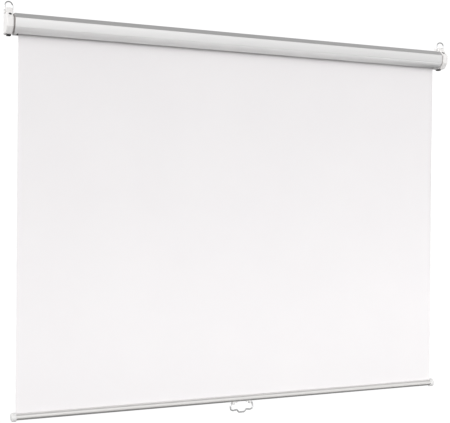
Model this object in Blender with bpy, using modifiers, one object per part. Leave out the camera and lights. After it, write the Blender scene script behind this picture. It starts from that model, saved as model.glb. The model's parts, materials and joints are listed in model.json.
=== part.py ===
"""Manual pull-down projection screen with a spring roller.

Metres, +Z up, +X to the right, the viewer looks along +Y.
The origin is midway between the two hanging loops, at the height where a hook
bears on the inside of the loops. The screen is let down and locked.
"""

import math

import bmesh
import bpy
from mathutils import Matrix, Vector

MM = 0.001
GAP = 0.3            # mm left between pieces that touch

# ---- driving dimensions, in millimetres -----------------------------------
FABRIC_W = 2000.0
FABRIC_T = 0.5
FABRIC_Y = 5.0       # the fabric hangs this far behind the loops

CASE_TOP = -43.0     # the case's section; its y is measured from the fabric
CASE_LOW = -124.6
CASE_FRONT = -46.0
CASE_BACK = 22.4
UPPER_CHAMFER = 20.7
LOWER_CHAMFER = 24.2
CASE_T = 1.5
CASE_END = 1020.2    # half of the case's length
DIAG = math.sqrt(0.5)

CAP_IN = 1028.4      # the cap's body starts here, a neck joins it to the case
CAP_OUT = 1055.0
CAP_OVER = 0.8       # the cap's body stands this far over the case
NECK_INSET = 9.3     # insets are measured inwards from the case's surface
SPIGOT_IN = 1006.0
SPIGOT_INSET = 1.8
SPIGOT_BORE = 4.3
CAP_BORE = 11.5

HANG_X = 1039.2
LOOP_R = 16.5        # centre line of the loop's arch
LOOP_WIRE = 2.5
LOOP_TURN = math.radians(13)     # the outer leg of each loop stands nearer to the front
BLOCK_W, BLOCK_D = 31.0, 39.0
BLOCK_Y = 8.0
BLOCK_Z0 = CASE_TOP + CAP_OVER + GAP
BLOCK_Z1 = -22.5

ROLLER_Y = -19.1     # from the fabric, which leaves the roller on its back side
ROLLER_Z = -83.0
TUBE_R = 18.0
TUBE_END = 1003.0

BAR_R = 13.5
BAR_Z = -1638.8
BAR_END = 1009.0
BARCAP_R = 17.8

HANDLE_X = -5.0
HANDLE_Z = -1658.6
HANDLE_WIRE = 3.25

# ---- set up ----------------------------------------------------------------
for old in list(bpy.data.objects):
    bpy.data.objects.remove(old, do_unlink=True)


def collection(name):
    made = bpy.data.collections.new(name)
    bpy.context.scene.collection.children.link(made)
    return made


PARTS = collection("projector_screen")
CUTTERS = collection("cutters")


def material(name, rgb, roughness, metallic=0.0):
    m = bpy.data.materials.new(name)
    m.use_nodes = True
    shader = m.node_tree.nodes["Principled BSDF"]
    shader.inputs["Base Color"].default_value = (*rgb, 1.0)
    shader.inputs["Roughness"].default_value = roughness
    shader.inputs["Metallic"].default_value = metallic
    m.diffuse_color = (*rgb, 1.0)
    return m


WHITE_PAINT = material("white_paint", (0.78, 0.78, 0.80), 0.35)
CREAM_PLASTIC = material("cream_plastic", (0.84, 0.82, 0.77), 0.45)
PLATED_WIRE = material("plated_wire", (0.62, 0.62, 0.63), 0.22, 1.0)
BLACK_RUBBER = material("black_rubber", (0.03, 0.03, 0.03), 0.8)
BLACK_STEEL = material("black_steel", (0.05, 0.05, 0.05), 0.4, 0.8)
ZINC = material("zinc_steel", (0.62, 0.63, 0.65), 0.35, 1.0)
ALUMINIUM = material("mill_aluminium", (0.72, 0.72, 0.73), 0.4, 1.0)
SPRING_STEEL = material("spring_steel", (0.30, 0.30, 0.32), 0.35, 1.0)
GREY_NYLON = material("grey_nylon", (0.35, 0.35, 0.36), 0.5)
BRASS = material("brass", (0.70, 0.52, 0.25), 0.3, 1.0)
FABRIC = material("matte_white_fabric", (0.87, 0.86, 0.86), 0.9)
BAR_PAINT = material("bar_paint", (0.74, 0.73, 0.71), 0.3, 0.3)
GREY_CAP = material("light_grey_plastic", (0.68, 0.67, 0.68), 0.4)
CHROME = material("bright_chrome", (0.80, 0.81, 0.83), 0.12, 1.0)

ALONG_X = (math.radians(90), 0.0, math.radians(90))   # local Z to world +X
ALONG_MINUS_X = (math.radians(90), 0.0, math.radians(-90))


def frame(name, x, y, z):
    """An empty that carries one moving group, in millimetres."""
    e = bpy.data.objects.new(name, None)
    e.location = (x * MM, y * MM, z * MM)
    PARTS.objects.link(e)
    return e


CASE = frame("case_frame", 0, FABRIC_Y, 0)
HANG = frame("hanger_frame", 0, 0, 0)
ROLLER = frame("roller_axis", 0, FABRIC_Y + ROLLER_Y, ROLLER_Z)
BAR = frame("bar_frame", 0, FABRIC_Y, BAR_Z)
HANDLE = frame("handle_axis", HANDLE_X, FABRIC_Y, HANDLE_Z)


def put(obj, parent, at=(0, 0, 0), turn=(0, 0, 0), mat=None):
    """Places an object under its frame, in millimetres."""
    obj.parent = parent
    obj.location = Vector(at) * MM
    obj.rotation_euler = turn
    if mat is not None:
        obj.data.materials.clear()
        obj.data.materials.append(mat)
    return obj


def new_mesh_object(name, bm, home=PARTS):
    mesh = bpy.data.meshes.new(name)
    bm.normal_update()
    bm.to_mesh(mesh)
    bm.free()
    obj = bpy.data.objects.new(name, mesh)
    home.objects.link(obj)
    return obj


def smooth(obj, angle=35):
    obj.data.shade_smooth()
    obj.data.set_sharp_from_angle(angle=math.radians(angle))


def box(name, size, home=PARTS):
    bm = bmesh.new()
    bmesh.ops.create_cube(bm, size=1.0)
    bmesh.ops.scale(bm, vec=Vector(size) * MM, verts=bm.verts)
    return new_mesh_object(name, bm, home)


def rod(name, r, length, sides=24, home=PARTS):
    """A cylinder along its local Z, centred."""
    bm = bmesh.new()
    bmesh.ops.create_cone(bm, cap_ends=True, segments=sides, radius1=r * MM, radius2=r * MM, depth=length * MM)
    return new_mesh_object(name, bm, home)


def cutter(obj):
    obj.hide_render = True
    obj.display_type = "WIRE"
    return obj


def boolean(obj, other, operation="DIFFERENCE"):
    mod = obj.modifiers.new(operation.lower(), "BOOLEAN")
    mod.operation = operation
    mod.solver = "EXACT"
    mod.object = other
    return mod


def bevel(obj, width, segments=2, angle=30):
    mod = obj.modifiers.new("bevel", "BEVEL")
    mod.width = width * MM
    mod.segments = segments
    mod.limit_method = "ANGLE"
    mod.angle_limit = math.radians(angle)
    mod.harden_normals = False
    return mod


def turned(name, profile, steps, home=PARTS):
    """A turned shape about local Z. profile is (radius, height), outer side top to bottom."""
    bm = bmesh.new()
    verts = [bm.verts.new((r * MM, 0, h * MM)) for r, h in profile]
    ring = profile[0][0] > 0 and profile[-1][0] > 0
    for a, b in zip(verts, verts[1:]):
        bm.edges.new((a, b))
    if ring:
        bm.edges.new((verts[-1], verts[0]))
    obj = new_mesh_object(name, bm, home)
    mod = obj.modifiers.new("screw", "SCREW")
    mod.axis = "Z"
    mod.angle = math.tau
    mod.steps = steps
    mod.render_steps = steps
    mod.use_merge_vertices = True
    mod.merge_threshold = 0.00001
    mod.use_normal_calculate = False
    return obj


FACETS = [            # outward direction (y, z) of each facet of the case and its distance
    (0.0, 1.0, CASE_TOP),
    (-DIAG, DIAG, DIAG * (CASE_TOP - UPPER_CHAMFER - CASE_FRONT)),
    (-1.0, 0.0, -CASE_FRONT),
    (-DIAG, -DIAG, DIAG * (-CASE_LOW - LOWER_CHAMFER - CASE_FRONT)),
    (0.0, -1.0, -CASE_LOW),
    (1.0, 0.0, CASE_BACK)]


def section(inset):
    """The six corners (y, z) of the case's section with every facet moved inwards."""
    out = []
    for (ay, az, ad), (by, bz, bd) in zip(FACETS, FACETS[1:] + FACETS[:1]):
        ad, bd = ad - inset, bd - inset
        det = ay * bz - az * by
        out.append(((ad * bz - bd * az) / det, (ay * bd - by * ad) / det))
    return out


def prism(name, rows, side, home=PARTS):
    """A solid with the case's section. Its rows are (distance from the middle, inset)."""
    bm = bmesh.new()
    rings = [[bm.verts.new((side * x * MM, y * MM, z * MM)) for y, z in section(inset)] for x, inset in rows]
    for a, b in zip(rings, rings[1:]):
        for i in range(6):
            j = (i + 1) % 6
            bm.faces.new((a[i], b[i], b[j], a[j]))
    bm.faces.new(rings[0])
    bm.faces.new(list(reversed(rings[-1])))
    bmesh.ops.recalc_face_normals(bm, faces=bm.faces)
    return new_mesh_object(name, bm, home)


def outline(name, loops, thickness):
    """A flat closed outline (mm, local XY) extruded along local Z, centred. The first loop is the outside."""
    curve = bpy.data.curves.new(name, "CURVE")
    curve.dimensions = "2D"
    curve.fill_mode = "BOTH"
    curve.extrude = thickness * MM / 2
    for loop in loops:
        spline = curve.splines.new("POLY")
        spline.points.add(len(loop) - 1)
        for point, (x, y) in zip(spline.points, loop):
            point.co = (x * MM, y * MM, 0, 1)
        spline.use_cyclic_u = True
    obj = bpy.data.objects.new(name, curve)
    PARTS.objects.link(obj)
    return obj


def wire(name, points, r, resolution=2, cyclic=False):
    """A round wire through points (mm)."""
    curve = bpy.data.curves.new(name, "CURVE")
    curve.dimensions = "3D"
    curve.bevel_depth = r * MM
    curve.bevel_resolution = resolution
    curve.use_fill_caps = not cyclic
    spline = curve.splines.new("POLY")
    spline.points.add(len(points) - 1)
    for point, p in zip(spline.points, points):
        point.co = (p[0] * MM, p[1] * MM, p[2] * MM, 1)
    spline.use_cyclic_u = cyclic
    obj = bpy.data.objects.new(name, curve)
    PARTS.objects.link(obj)
    return obj


def as_mesh(curve_obj, home=PARTS):
    """The curve object as a mesh object with its caps welded, in the same place."""
    name = curve_obj.name
    dg = bpy.context.evaluated_depsgraph_get()
    mesh = bpy.data.meshes.new_from_object(curve_obj.evaluated_get(dg))
    bm = bmesh.new()
    bm.from_mesh(mesh)
    bmesh.ops.remove_doubles(bm, verts=bm.verts, dist=0.000001)
    bmesh.ops.recalc_face_normals(bm, faces=bm.faces)
    bm.to_mesh(mesh)
    bm.free()
    place = curve_obj.matrix_world.copy()
    bpy.data.objects.remove(curve_obj, do_unlink=True)
    obj = bpy.data.objects.new(name, mesh)
    obj.matrix_world = place
    home.objects.link(obj)
    return obj


def fastener(name, mesh, matrix, parent, mat):
    """One screw or pin. Identical ones share their mesh."""
    obj = bpy.data.objects.new(name, mesh)
    PARTS.objects.link(obj)
    obj.parent = parent
    obj.matrix_basis = matrix
    if not mesh.materials:
        mesh.materials.append(mat)
    return obj


def arc(cx, cy, r, a0, a1, n):
    """Points on an arc, degrees."""
    return [(cx + r * math.cos(math.radians(a0 + (a1 - a0) * i / n)),
             cy + r * math.sin(math.radians(a0 + (a1 - a0) * i / n))) for i in range(n + 1)]


def filleted(points, radii, n=5):
    """A polyline with its inner corners rounded to the radii given."""
    out = [Vector(points[0])]
    for i in range(1, len(points) - 1):
        p, a, b = Vector(points[i]), Vector(points[i - 1]), Vector(points[i + 1])
        u, v = (a - p).normalized(), (b - p).normalized()
        turn = math.pi - u.angle(v)
        cut = radii[i - 1] * math.tan(turn / 2)
        start, end = p + u * cut, p + v * cut
        centre = p + (u + v).normalized() * (radii[i - 1] / math.cos(turn / 2))
        for k in range(n + 1):
            f = k / n
            s0, s1 = start - centre, end - centre
            angle = s0.angle(s1)
            d = (s0 * math.sin((1 - f) * angle) + s1 * math.sin(f * angle)) / math.sin(angle)
            out.append(centre + d)
    out.append(Vector(points[-1]))
    return out


def screw_mesh(head_r, head_h, shank_r, shank_l, sides=12):
    """A pan-head screw: its head stands on +Z above the origin, the shank goes down -Z."""
    rows = [(0, head_h), (head_r * 0.72, head_h), (head_r, head_h * 0.55), (head_r, 0), (shank_r, 0),
            (shank_r, -shank_l + shank_r), (shank_r * 0.3, -shank_l), (0, -shank_l)]
    bm = bmesh.new()
    rings = []
    for r, h in rows:
        if r == 0:
            rings.append([bm.verts.new((0, 0, h * MM))])
        else:
            rings.append([bm.verts.new((r * MM * math.cos(math.tau * i / sides),
                                        r * MM * math.sin(math.tau * i / sides), h * MM)) for i in range(sides)])
    for top, low in zip(rings, rings[1:]):
        for i in range(sides):
            j = (i + 1) % sides
            if len(top) == 1:
                bm.faces.new((top[0], low[i], low[j]))
            elif len(low) == 1:
                bm.faces.new((top[i], low[0], top[j]))
            else:
                bm.faces.new((top[i], low[i], low[j], top[j]))
    bmesh.ops.recalc_face_normals(bm, faces=bm.faces)
    mesh = bpy.data.meshes.new("screw")
    bm.to_mesh(mesh)
    bm.free()
    return mesh


def facing(x, y, z, direction):
    """A matrix that stands a +Z shape at a place (mm) with its +Z along a direction."""
    q = Vector((0, 0, 1)).rotation_difference(Vector(direction))
    return Matrix.Translation(Vector((x, y, z)) * MM) @ q.to_matrix().to_4x4()


# ---- case shell --------------------------------------------------------------
corners = section(0.0)
SLOT_BACK = 9.0       # the slot runs from the front lip to here
SECTION = [(corners[3][0] + 2.2, CASE_LOW + 5.5), corners[3], corners[2], corners[1], corners[0], corners[5], corners[4],
           (SLOT_BACK, CASE_LOW), (SLOT_BACK - 2.2, CASE_LOW + 5.5)]
bm = bmesh.new()
rows = [[bm.verts.new((s * CASE_END * MM, y * MM, z * MM)) for y, z in SECTION] for s in (-1, 1)]
for i in range(len(SECTION) - 1):
    bm.faces.new((rows[0][i], rows[1][i], rows[1][i + 1], rows[0][i + 1]))
bmesh.ops.recalc_face_normals(bm, faces=bm.faces)
case_shell = new_mesh_object("case_shell", bm)
shell = case_shell.modifiers.new("wall", "SOLIDIFY")
shell.thickness = CASE_T * MM
shell.offset = -1.0
shell.use_even_offset = True
round_off = bevel(case_shell, 0.7, 1, 20)
round_off.limit_method = "ANGLE"
put(case_shell, CASE, mat=WHITE_PAINT)
# the lips of the slot stop short of the cap spigots
for side, label in ((-1, "left"), (1, "right")):
    relief = cutter(prism(label + "_lip_relief", [(SPIGOT_IN - 0.6, SPIGOT_INSET - 0.15), (SPIGOT_IN + 24.0, SPIGOT_INSET - 0.15)], side, CUTTERS))
    put(relief, CASE)
    boolean(case_shell, relief)

# ---- end caps ------------------------------------------------------------------
# from the rounded outer end over the body, the neck and the spigot, then back through the bore
CAP_ROWS = [
    (CAP_OUT, 5.2), (CAP_OUT - 1.3, 1.9), (CAP_OUT - 3.6, -0.1), (CAP_OUT - 6.2, -CAP_OVER),
    (CAP_IN + 0.6, -CAP_OVER), (CAP_IN, -CAP_OVER + 0.6), (CAP_IN, NECK_INSET), (CASE_END + GAP, NECK_INSET),
    (CASE_END + GAP, SPIGOT_INSET), (SPIGOT_IN + 1.0, SPIGOT_INSET), (SPIGOT_IN, SPIGOT_INSET + 1.0),
    (SPIGOT_IN, SPIGOT_BORE), (CASE_END - 2.0, SPIGOT_BORE), (CASE_END - 2.0, CAP_BORE), (CAP_OUT - 3.5, CAP_BORE)]

SCREW_X = 1038.6
CASE_SCREW_X = 1013.0
UP = (0, 0, 1)
CAP_SCREWS = [        # name, direction the head faces, point (y, z) of the case's surface, width of the tab below
    ("front", (0, -DIAG, DIAG), (corners[0][0] - 0.32 * UPPER_CHAMFER, CASE_TOP - 0.32 * UPPER_CHAMFER), 8.4),
    ("back", (0, 1, 0), (CASE_BACK, -64.0), 14.0)]
# head radius, head height, shank length and inset of the counterbore's floor
CAP_HEADS = {"front": (5.6, 1.8, 12.0, 3.7), "back": (4.0, 2.0, 9.5, 6.2)}
HANGER_SCREW_Y = [-12.0, 5.0]


def across(name, r, length, x, point, direction, inset, sides=20):
    """A round cutter square to a facet, centred at an inset below a point (y, z) of the case's surface."""
    obj = cutter(rod(name, r, length, sides, CUTTERS))
    obj.rotation_euler = Vector((0, 0, 1)).rotation_difference(Vector(direction)).to_euler()
    obj.parent = CASE
    obj.location = (Vector((x, *point)) - Vector(direction) * inset) * MM
    return obj


for side, label in ((-1, "left"), (1, "right")):
    cap = prism(label + "_end_cap", CAP_ROWS, side)
    put(cap, CASE, mat=CREAM_PLASTIC)
    for word, d, point, width in CAP_SCREWS:
        head_r, _, _, floor = CAP_HEADS[word]
        boolean(cap, across(f"{label}_cap_counterbore_{word}", head_r + 0.7, floor + 2.0, side * SCREW_X, point, d, floor / 2 - 1.0, 28))
        boolean(cap, across(f"{label}_cap_hole_{word}", 2.0, 13.5 - floor + 1.5, side * SCREW_X, point, d, (13.5 + floor - 1.5) / 2, 12))
    for k, y in enumerate(HANGER_SCREW_Y):
        boolean(cap, across(f"{label}_hanger_hole_{k}", 2.0, 16.0, side * HANG_X, (y, CASE_TOP), UP, 5.5, 12))
    boolean(cap, across(f"{label}_spigot_hole", 1.6, 8.0, side * CASE_SCREW_X, (0.0, CASE_TOP), UP, 3.0, 12))
    boolean(case_shell, across(f"{label}_case_hole", 2.2, 8.0, side * CASE_SCREW_X, (0.0, CASE_TOP), UP, 0.0, 12))

# ---- hanger blocks and loops -----------------------------------------------------
# each loop is a bail: its legs lie in grooves at the block's ends and turn in below the block's top
BLOCK_Z = (BLOCK_Z0 + BLOCK_Z1) / 2
PIN_Z = BLOCK_Z1 - 11.0
for side, label in ((-1, "left"), (1, "right")):
    block = box(label + "_hanger_block", (BLOCK_W, BLOCK_D, BLOCK_Z1 - BLOCK_Z0))
    bevel(block, 1.4, 2)
    put(block, HANG, (side * HANG_X, BLOCK_Y, BLOCK_Z), mat=CREAM_PLASTIC)
    bail = frame(label + "_loop_frame", side * HANG_X, 0, 0)
    bail.rotation_euler = (0, 0, -side * LOOP_TURN)
    for k, s in enumerate((-1, 1)):
        leg = cutter(rod(f"{label}_leg_groove_{k}", LOOP_WIRE + 0.65, 24.0, 18, CUTTERS))
        put(leg, bail, (s * LOOP_R, 0, PIN_Z - 3.8 + 12.0), (0, 0, math.radians(7)))
        boolean(block, leg)
        inner = cutter(rod(f"{label}_leg_hole_{k}", LOOP_WIRE + 0.45, 12.0, 16, CUTTERS))
        put(inner, bail, (s * (LOOP_R - 9.4 + 6.0), 0, PIN_Z), ALONG_X)
        boolean(block, inner)
    for k, y in enumerate(HANGER_SCREW_Y):
        hole = cutter(rod(f"{label}_block_hole_{k}", 1.7, 24.0, 12, CUTTERS))
        put(hole, HANG, (side * HANG_X, FABRIC_Y + y, BLOCK_Z0 - 0.5))
        boolean(block, hole)
    arch_z = -LOOP_R + LOOP_WIRE      # the hook bears at z = 0 under the arch
    foot = filleted([(-LOOP_R + 9.0, 0, PIN_Z), (-LOOP_R, 0, PIN_Z), (-LOOP_R, 0, PIN_Z + 8.0)], [3.2], 4)
    path = foot + [(x, 0, z) for x, z in arc(0, arch_z, LOOP_R, 180, 0, 12)]
    path += [(-p[0], 0, p[2]) for p in reversed(foot)]
    loop = wire(label + "_hanging_loop", path, LOOP_WIRE, 3)
    put(loop, bail, mat=PLATED_WIRE)

SIDES = ((-1, "left"), (1, "right"))
# screws that come up through the caps' top walls into the blocks
small = screw_mesh(3.2, 1.9, 1.3, 24.0)
for side, label in SIDES:
    for k, y in enumerate(HANGER_SCREW_Y):
        fastener(f"{label}_hanger_screw_{k + 1}", small,
                 facing(side * HANG_X, y, CASE_TOP - CAP_BORE - GAP, (0, 0, -1)), CASE, ZINC)

# screws through the upper front and the back facets of the caps into the brackets inside
heads = {word: screw_mesh(r, h, 1.5, shank, 20) for word, (r, h, shank, floor) in CAP_HEADS.items()}
for side, label in SIDES:
    for word, d, point, width in CAP_SCREWS:
        low = CAP_HEADS[word][3] - GAP
        fastener(f"{label}_cap_screw_{word}", heads[word],
                 facing(side * SCREW_X, point[0] - d[1] * low, point[1] - d[2] * low, d), CASE, BLACK_STEEL)

# screws down through the top of the case into the spigots
short = screw_mesh(3.6, 1.9, 1.2, 5.5)
for side, label in SIDES:
    fastener(label + "_case_screw", short, facing(side * CASE_SCREW_X, 0, CASE_TOP + GAP, UP), CASE, ZINC)

# ---- roller brackets ---------------------------------------------------------------
PLATE_X = 1022.0
SPINDLE_R = 3.5
TANG_HALF = 2.2
PLATE_INSET = CAP_BORE + 0.4
TAB_INSET = CAP_BORE + 1.4
TAB_END = 1044.0
for side, label in ((-1, "left"), (1, "right")):
    plate = outline(label + "_roller_bracket", [section(PLATE_INSET)], 2.0)
    plate.matrix_world = Matrix.Translation((side * PLATE_X * MM, 0, 0)) @ Matrix.Rotation(math.radians(90), 4, "Z") @ Matrix.Rotation(math.radians(90), 4, "X")
    bpy.context.view_layer.update()
    plate = as_mesh(plate)
    plate.data.transform(plate.matrix_world)
    plate.matrix_world = Matrix.Identity(4)
    put(plate, CASE, mat=ZINC)
    for word, d, point, width in CAP_SCREWS:
        tab = cutter(box(f"{label}_tab_{word}", (TAB_END - PLATE_X, width, 1.8), CUTTERS))
        tab.rotation_euler = Vector((0, 0, 1)).rotation_difference(Vector(d)).to_euler()
        tab.parent = CASE
        tab.location = (Vector((side * (TAB_END + PLATE_X) / 2, *point)) - Vector(d) * TAB_INSET) * MM
        boolean(plate, tab, "UNION")
        boolean(plate, across(f"{label}_tab_hole_{word}", 1.9, 8.0, side * SCREW_X, point, d, TAB_INSET, 12))
    if side < 0:
        hole = cutter(rod("bush_hole", 6.6, 10.0, 24, CUTTERS))
        put(hole, CASE, (side * PLATE_X, ROLLER_Y, ROLLER_Z), ALONG_X)
    else:
        hole = cutter(box("tang_slot", (10.0, 2 * (TANG_HALF + 0.35), 2 * (SPINDLE_R + 0.4)), CUTTERS))
        put(hole, CASE, (side * PLATE_X, ROLLER_Y, ROLLER_Z))
    boolean(plate, hole)

# ---- rubber feet ---------------------------------------------------------------------
for side, label in ((-1, "left"), (1, "right")):
    foot = box(label + "_rubber_foot", (16.0, 20.0, 5.2))
    bevel(foot, 1.2, 2)
    put(foot, CASE, (side * 1037.0, 4.0, CASE_LOW - CAP_OVER - GAP - 2.6), mat=BLACK_RUBBER)

# ---- roller ------------------------------------------------------------------------------
LENGTH = 2 * TUBE_END
tube = turned("roller_tube", [(TUBE_R, TUBE_END), (TUBE_R, -TUBE_END), (TUBE_R - 1.0, -TUBE_END), (TUBE_R - 1.0, TUBE_END)], 32)
put(tube, ROLLER, turn=ALONG_X, mat=ALUMINIUM)
smooth(tube)

ROLL_IN = TUBE_R + GAP
ROLL_OUT = -ROLLER_Y - FABRIC_T / 2 - GAP
roll = turned("fabric_roll", [(ROLL_OUT, FABRIC_W / 2), (ROLL_OUT, -FABRIC_W / 2), (ROLL_IN, -FABRIC_W / 2), (ROLL_IN, FABRIC_W / 2)], 48)
put(roll, ROLLER, turn=ALONG_X, mat=FABRIC)
smooth(roll)

PLUG_R = TUBE_R - 1.0 - GAP
FIXED_BORE = SPINDLE_R + GAP
FREE_BORE = SPINDLE_R + 0.6
# left end: plug with a blind bore for its pin
idle_plug = turned("idle_plug", [
    (0.0, 982.0), (4.35, 982.0), (4.35, 1009.0), (16.0, 1009.0), (TUBE_R, 1008.0), (TUBE_R, TUBE_END + GAP),
    (PLUG_R, TUBE_END + GAP), (PLUG_R, 976.0), (PLUG_R - 1.0, 975.0), (0.0, 975.0)], 24)
put(idle_plug, ROLLER, turn=ALONG_MINUS_X, mat=GREY_NYLON)
smooth(idle_plug)

idle_pin = rod("idle_pin", 4.0, 45.0, 20)
put(idle_pin, ROLLER, (-1005.0, 0, 0), ALONG_X, ZINC)
smooth(idle_pin)

idle_bush = turned("idle_bush", [
    (4.5, 1025.0), (6.2, 1025.0), (6.2, 1020.7), (9.5, 1020.7), (9.5, 1018.7), (4.5, 1018.7)], 24)
put(idle_bush, ROLLER, turn=ALONG_MINUS_X, mat=GREY_NYLON)
smooth(idle_bush)

# right end: housing with a cavity for the lock, open outwards under its cover
HOUSE_IN = 1006.0
HOUSE_OUT = 1016.0
housing = turned("lock_housing", [
    (15.6, HOUSE_OUT), (TUBE_R, HOUSE_OUT), (TUBE_R, TUBE_END + GAP), (PLUG_R, TUBE_END + GAP), (PLUG_R, 976.0),
    (PLUG_R - 1.0, 975.0), (FREE_BORE, 975.0), (FREE_BORE, HOUSE_IN), (15.6, HOUSE_IN)], 32)
put(housing, ROLLER, turn=ALONG_X, mat=GREY_NYLON)
smooth(housing)

PIN_R = 12.6          # the pawls' pins stand on this radius
cover = turned("lock_cover", [
    (9.0, HOUSE_OUT + 1.5), (TUBE_R - 0.6, HOUSE_OUT + 1.5), (TUBE_R, HOUSE_OUT + 0.9), (TUBE_R, HOUSE_OUT + GAP), (9.0, HOUSE_OUT + GAP)], 32)
put(cover, ROLLER, turn=ALONG_X, mat=ZINC)
smooth(cover)
for k, s in enumerate((1, -1)):
    seat = cutter(rod(f"pin_seat_{k}", 1.5, 4.0, 12, CUTTERS))
    put(seat, ROLLER, (HOUSE_IN + 0.2, 0, s * PIN_R), ALONG_X)
    boolean(housing, seat)
    through = cutter(rod(f"pin_through_{k}", 1.5, 8.0, 12, CUTTERS))
    put(through, ROLLER, (HOUSE_OUT + 1.0, 0, s * PIN_R), ALONG_X)
    boolean(cover, through)

pin = bpy.data.meshes.new("pin")
bm = bmesh.new()
bmesh.ops.create_cone(bm, cap_ends=True, segments=12, radius1=1.15 * MM, radius2=1.15 * MM, depth=12.5 * MM)
bm.to_mesh(pin)
bm.free()
turn_x = Matrix.Rotation(math.radians(90), 4, "Y")
for letter, s in (("a", 1), ("b", -1)):
    smooth(fastener("pawl_pin_" + letter, pin, Matrix.Translation(Vector((1011.0, 0, s * PIN_R)) * MM) @ turn_x, ROLLER, ZINC))

# ratchet wheel: a disc with two notches. Each has a steep face, which stops the
# roller from winding up, and a long ramp, over which the toes ride on the way down.
RATCHET_R = 6.9
NOTCH_R = 5.0
STEEP = 143.5         # angle of the steep face from the back, going up
FLOOR = 118.0
RAMP = 92.0
LOCK_X = 1011.0
LOCK_T = 5.0


def ratchet_loop():
    out = []
    for half in (0, 180):
        out += arc(0, 0, RATCHET_R, half + STEEP, half + RAMP + 180, 12)
        out += arc(0, 0, NOTCH_R, half + FLOOR + 180, half + STEEP + 180, 3)
    return out


bore = arc(0, 0, FIXED_BORE, 0, 345, 23)
ratchet = outline("ratchet_wheel", [ratchet_loop(), bore], LOCK_T)
ratchet.parent = ROLLER
ratchet.location = (LOCK_X * MM, 0, 0)
ratchet.rotation_euler = ALONG_X
ratchet.data.materials.append(ZINC)

# pawls: curved dogs that lie round the wheel, each with a toe at its free end.
# At rest they are held just clear of the wheel; 11 degrees inwards seats the toe.
TOE_R = 7.35


def pawl_loop():
    """Outline about the roller's axis for a pin straight above it (X to the back, Y up)."""
    out = []
    for i in range(11):
        angle = 81 + 59 * i / 10
        r = 14.9 if angle < 100 else 14.9 - 2.7 * (angle - 100) / 40
        out.append((r * math.cos(math.radians(angle)), r * math.sin(math.radians(angle))))
    for angle in (142, 126):
        out.append((TOE_R * math.cos(math.radians(angle)), TOE_R * math.sin(math.radians(angle))))
    return out + arc(0, 0, 10.2, 120, 81, 7)


for letter, s in (("a", 1), ("b", -1)):
    loop = [(s * x, s * (y - PIN_R)) for x, y in pawl_loop()]
    eye = arc(0, 0, 1.5, 0, 330, 11)
    pivot = frame(f"pawl_{letter}_axis", LOCK_X, FABRIC_Y + ROLLER_Y, ROLLER_Z + s * PIN_R)
    pawl = outline(f"lock_pawl_{letter}", [loop, eye], LOCK_T - 0.6)
    pawl.parent = pivot
    pawl.rotation_euler = ALONG_X
    pawl.data.materials.append(BRASS)

# fixed spindle with a flat tang at its outer end
spindle = rod("spring_spindle", SPINDLE_R, 1029.0 - 728.0, 20)
put(spindle, ROLLER, ((1029.0 + 728.0) / 2, 0, 0), ALONG_X, ZINC)
for k, s in enumerate((-1, 1)):
    flat = cutter(box(f"tang_flat_{k}", (14.0, 4.0, 12.0), CUTTERS))
    put(flat, ROLLER, (1025.5, s * (TANG_HALF + 2.0), 0))
    boolean(spindle, flat)
smooth(spindle)

collar = turned("spring_collar", [
    (FIXED_BORE, 966.0), (9.0, 966.0), (10.0, 965.0), (10.0, 956.0), (FIXED_BORE, 956.0)], 24)
put(collar, ROLLER, turn=ALONG_X, mat=ZINC)
smooth(collar)

winding = turned("winding_plug", [
    (FREE_BORE, 766.0), (PLUG_R - 1.0, 766.0), (PLUG_R, 765.0), (PLUG_R, 736.0), (PLUG_R - 1.0, 735.0), (FREE_BORE, 735.0)], 24)
put(winding, ROLLER, turn=ALONG_X, mat=GREY_NYLON)
smooth(winding)

COILS = 15
COIL_X0, COIL_X1 = 768.5, 953.5
PER_TURN = 12
points = []
count = COILS * PER_TURN
for i in range(count + 1):
    a = math.tau * i / PER_TURN
    points.append((COIL_X0 + (COIL_X1 - COIL_X0) * i / count, 11.5 * math.cos(a), 11.5 * math.sin(a)))
spring = wire("torsion_spring", points, 1.1, 2)
put(spring, ROLLER, mat=SPRING_STEEL)

# ---- fabric ---------------------------------------------------------------------------------
FABRIC_TOP = ROLLER_Z
HEM_R = 3.9
ROD_Z = 3.6           # hem rod above the bar's centre line
FABRIC_LOW = BAR_Z + ROD_Z + HEM_R + GAP
fabric = box("screen_fabric", (FABRIC_W, FABRIC_T, FABRIC_TOP - FABRIC_LOW))
put(fabric, CASE, (0, 0, (FABRIC_TOP + FABRIC_LOW) / 2), mat=FABRIC)

# ---- bottom bar --------------------------------------------------------------------------------
SLOT_HALF = 1.6
a_out = math.degrees(math.asin(SLOT_HALF / BAR_R))
a_in = math.degrees(math.asin(SLOT_HALF / (BAR_R - 1.2)))
section = arc(0, 0, BAR_R, 90 + a_out, 450 - a_out, 40) + arc(0, 0, BAR_R - 1.2, 450 - a_in, 90 + a_in, 32)
bar = as_mesh(outline("bottom_bar_tube", [section], 2 * BAR_END))
put(bar, BAR, turn=ALONG_X, mat=BAR_PAINT)
smooth(bar)

hem_rod = rod("hem_rod", 2.8, 2 * 999.0, 16)
put(hem_rod, BAR, (0, 0, ROD_Z), ALONG_X, ZINC)
smooth(hem_rod)
hem = turned("fabric_hem", [(HEM_R, 999.0), (HEM_R, -999.0), (HEM_R - 0.7, -999.0), (HEM_R - 0.7, 999.0)], 20)
put(hem, BAR, (0, 0, ROD_Z), ALONG_X, FABRIC)
smooth(hem)

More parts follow.
